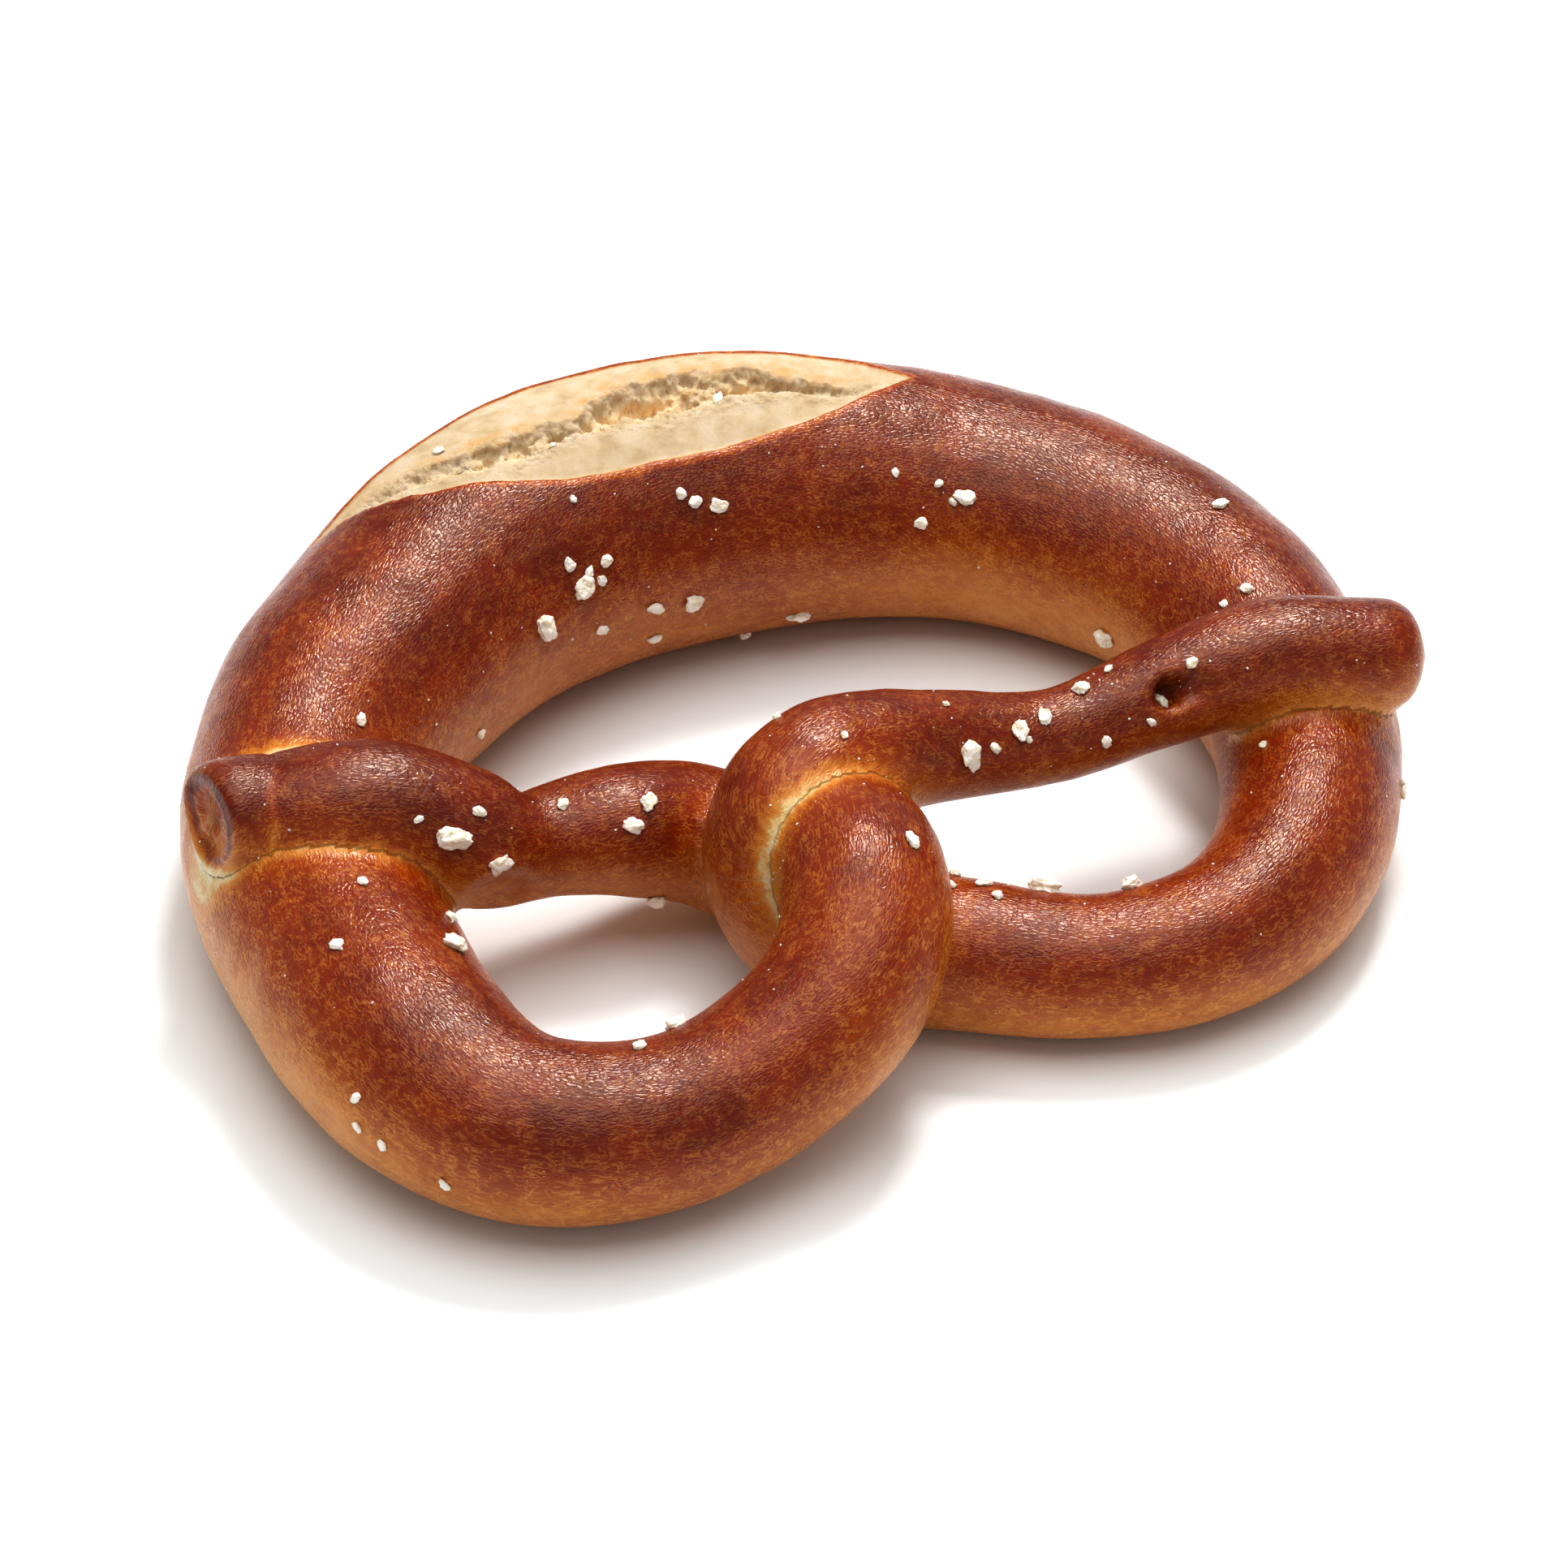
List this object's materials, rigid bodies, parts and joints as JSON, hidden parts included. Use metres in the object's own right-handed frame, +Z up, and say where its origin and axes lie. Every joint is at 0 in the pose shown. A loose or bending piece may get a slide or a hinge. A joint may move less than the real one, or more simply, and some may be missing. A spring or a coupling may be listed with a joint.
{
  "type": "bavarian pretzel",
  "caption": "Soft pretzel of one dough rope knotted with two crossings, thick split back, thin arms ending on the ring, coarse salt baked on; rests flat on a tray",
  "frame": {"origin": "middle of the footprint on the tray, at the height of the flat underside", "axes": "+X towards the end of the right arm, +Y towards the thick split back, +Z up from the tray"},
  "size_m": [0.1552, 0.1395, 0.0357],
  "materials": {
    "lye_crust": "glossy brown lye crust with a pale torn split in the back and white salt grains"
  },
  "bodies": {
    "root": {"pretzel": "lye_crust"}
  },
  "joints": []
}
